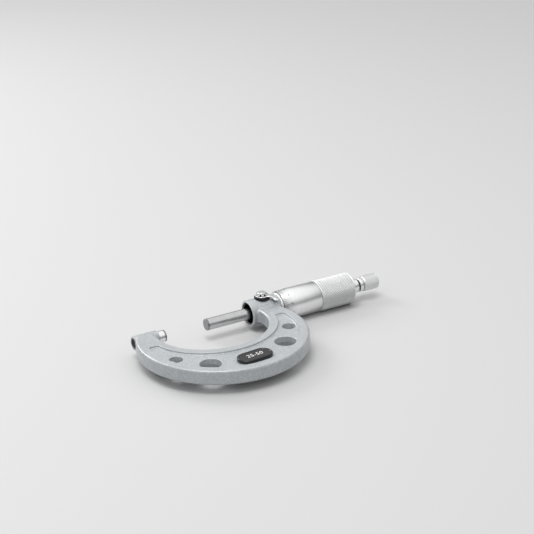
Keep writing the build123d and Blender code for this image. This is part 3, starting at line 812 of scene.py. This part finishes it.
def leverArm():
    # rounded sections (w cos t, d sin t), each cosine and sine raised to a power to fill the corners,
    # square to a falling line whose places are smoothed by a short running mean
    along = np.linspace(0, 1, lever["steps"]) ** lever["crowding"]
    knots = np.linspace(0, 1, len(lever["stations"]))
    rows = [np.interp(along, knots, lever[key]) for key in ("stations", "heights", "widths", "depths")]
    kernel = np.array([1, 2, 3, 2, 1]) / 9
    reach, height, width, depth = [np.convolve(np.pad(row, 2, "edge"), kernel, "valid") for row in rows]
    turn = aroundTurn(lever["around"])
    side = np.sign(np.cos(turn)) * np.abs(np.cos(turn)) ** lever["sideFullness"] * width[:, None] / 2
    rise = np.sign(np.sin(turn)) * np.abs(np.sin(turn)) ** lever["topFullness"] * depth[:, None] / 2
    tilt = np.arctan(np.gradient(height) / np.maximum(np.gradient(reach), 1e-6))[:, None]
    forward = reach[:, None] - rise * np.sin(tilt)
    up = height[:, None] + rise * np.cos(tilt)
    x, y = lockAxis()
    angle = radians(lever["angle"])
    east = x + forward * cos(angle) - side * sin(angle)
    north = y + forward * sin(angle) + side * cos(angle)
    points = np.stack([east, north, up], axis=2).reshape(-1, 3)
    return points, tubeFaces(lever["steps"], lever["around"])


def makeLever():
    points, faces = gather([leverHub(), leverArm()])
    makePiece("lockLever", points, faces, "brightChrome", "lock", ["lock_lever"])


disc = {
    "radius": 3.35, "notches": 8, "notchTurn": 4.0, "notchWidth": 1.0, "notchDepth": 0.9, "notchSide": 0.08,
    "shade": 1.6, "edge": 0.2, "foot": 0.06, "sink": 0.02, "hole": 1.52, "around": 288,
}


def makeDisc():
    low, high = span("lock_nut")
    under, top = low[2] - disc["sink"], high[2]
    # the rim dips inward at each notch, with steep sides
    perNotch = (aroundTurn(disc["around"]) - radians(disc["notchTurn"])) / (2 * pi) * disc["notches"]
    arc = np.abs((perNotch + 0.5) % 1 - 0.5) / disc["notches"] * 2 * pi * disc["radius"]
    share = np.clip((disc["notchWidth"] / 2 - arc) / disc["notchSide"] + 0.5, 0, 1)
    rim = disc["radius"] - share * disc["notchDepth"]
    edge, foot, hole = disc["edge"], disc["foot"], disc["hole"]
    rings = [(hole, under), (rim - foot, under), (rim, under + foot), (rim, top - edge)]
    rings += [(rim - 0.3 * edge, top - 0.3 * edge), (rim - edge, top), (hole, top)]
    points, faces = standing(rings, disc["around"])
    piece = makePiece("lockDisc", points, faces, "ringedChrome", "lock", ["lock_nut"], False)
    # painted shade in the notches: the rise falls towards 0 across each notch
    rise = 1 - np.clip(share * disc["shade"], 0, 1)
    keepRise(piece, np.broadcast_to(rise, (len(rings), disc["around"])))


makeLever()
makeDisc()
print("lock ready")


# Name plate: an oval pad with a rolled border and a crowned panel, with the tool's range in plain numbers

plate = {
    "x": 24.5, "y": -56.0, "tilt": 5.0, "length": 20.5, "width": 10.8, "steps": 96,
    # how far in from the outline, and how far above or below the top; the first row stands on the web
    "profile": [(0, 0), (0, -0.55), (0.08, -0.25), (0.28, -0.06), (0.55, 0), (0.85, -0.03),
                (1.05, -0.2), (1.2, -0.27), (1.6, -0.27), (2.6, -0.2), (3.9, -0.14), (5.39, -0.12)],
    "range": "25-50", "numberSize": 4.3, "slant": 0.18,
    "numberAt": -0.13, "numberRise": 0.04, "numberRoot": 0.2,
}


def plateTurned(across, along):
    # turned by the plate's tilt and moved to its middle
    tilt = radians(plate["tilt"])
    x = plate["x"] + across * cos(tilt) - along * sin(tilt)
    y = plate["y"] + across * sin(tilt) + along * cos(tilt)
    return x, y


def makePlatePad():
    low, high = span("name_plate")
    profile = np.array(plate["profile"])
    height = profile[:, 1:] + high[2]
    height[0] = low[2]
    # a ring of radius w / 2 - inward round two centres, one at each end of the pad
    side = (plate["length"] - plate["width"]) / 2
    turn = aroundTurn(plate["steps"]) + pi / plate["steps"]
    radius = plate["width"] / 2 - profile[:, :1]
    x, y = plateTurned(radius * np.cos(turn) + np.sign(np.cos(turn)) * side, radius * np.sin(turn))
    points = np.stack([x, y, np.broadcast_to(height, x.shape)], axis=2).reshape(-1, 3)
    faces = tubeFaces(len(profile), plate["steps"])
    makePiece("platePad", points, faces, "glossBlack", "frame", ["name_plate"])


def makePlateNumbers():
    text, faces = digitMesh(plate["range"], plate["numberSize"])
    text[:, 0] += plate["slant"] * text[:, 1] - text[:, 0].max() / 2
    level = span("name_plate")[1][2] + plate["numberAt"]
    x, y = plateTurned(text[:, 0], text[:, 1])
    z = np.where(text[:, 2] > 0, level + plate["numberRise"], level - plate["numberRoot"])
    points = np.stack([x, y, z], axis=1)
    makePiece("plateNumbers", points, faces, "whitePrint", "frame", smooth=False)


makePlatePad()
makePlateNumbers()
print("name plate ready")


# Camera, floor and light

camera = {
    "place": (-0.351028, -0.751460, 0.380163), "yaw": 0.505103, "drop": 0.392290, "roll": -0.0360007,
    "lens": 113.93, "sensor": 36, "near": 0.01, "far": 20,
}


def placeCamera():
    # forward from yaw and drop, then right and up turned about it by the roll
    yaw, drop, roll = camera["yaw"], camera["drop"], camera["roll"]
    forward = Vector((sin(yaw) * cos(drop), cos(yaw) * cos(drop), -sin(drop)))
    right = Vector((cos(yaw), -sin(yaw), 0))
    up = right.cross(forward)
    tiltedRight = right * cos(roll) + up * sin(roll)
    tiltedUp = up * cos(roll) - right * sin(roll)
    eye = bpy.data.objects.new("camera", bpy.data.cameras.new("camera"))
    eye.matrix_world = Matrix((tiltedRight, tiltedUp, -forward)).transposed().to_4x4()
    eye.location = camera["place"]
    eye.data.lens = camera["lens"]
    eye.data.sensor_width = camera["sensor"]
    eye.data.clip_start = camera["near"]
    eye.data.clip_end = camera["far"]
    bpy.context.scene.collection.objects.link(eye)
    bpy.context.scene.camera = eye


stage = {"gap": 0.0001, "size": 6.0, "colour": (0.52, 0.52, 0.52, 1), "rough": 0.6}


def makeFloor():
    size, height = stage["size"], cadLow.z - stage["gap"]
    corners = [(-size, -size, height), (size, -size, height), (size, size, height), (-size, size, height)]
    mesh = bpy.data.meshes.new("floor")
    mesh.from_pydata(corners, [], [(0, 1, 2, 3)])
    mesh.materials.append(newMaterial("floor", Base_Color=stage["colour"], Roughness=stage["rough"])[0])
    floor = bpy.data.objects.new("floor", mesh)
    bpy.context.scene.collection.objects.link(floor)


lights = {
    "key": {"place": (-0.10, -0.05, 0.95), "power": 4.2, "size": 0.45},
    "back": {"place": (-0.20, 0.75, 0.50), "power": 3.2, "size": 0.4},
    "fill": {"place": (-0.75, -0.35, 0.45), "power": 0.4, "size": 0.5},
}


def placeLights():
    middle = (cadLow + cadHigh) / 2
    for name, light in lights.items():
        lamp = bpy.data.objects.new(name, bpy.data.lights.new(name, "AREA"))
        lamp.data.energy = light["power"]
        lamp.data.size = light["size"]
        lamp.location = light["place"]
        lamp.rotation_euler = (middle - lamp.location).to_track_quat("-Z", "Y").to_euler()
        bpy.context.scene.collection.objects.link(lamp)


sky = {"horizon": 0.05, "zenith": 1.0, "low": 0.05, "high": 0.62}


def makeSky():
    # white, growing from the horizon's strength to the zenith's with height
    world = bpy.data.worlds.new("studio")
    world.use_nodes = True
    tree = world.node_tree
    place = addNode(tree, "TexCoord").outputs["Generated"]
    height = addNode(tree, "SeparateXYZ", _Vector=place).outputs[2]
    ends = {"_1": sky["low"], "_2": sky["high"], "_3": sky["horizon"], "_4": sky["zenith"]}
    strength = addNode(tree, "MapRange", _Value=height, **ends).outputs[0]
    back = tree.nodes["Background"]
    back.inputs["Color"].default_value = (1, 1, 1, 1)
    tree.links.new(strength, back.inputs["Strength"])
    bpy.context.scene.world = world
    bpy.context.scene.view_settings.view_transform = "Standard"


placeCamera()
makeFloor()
placeLights()
makeSky()
print("stage ready")
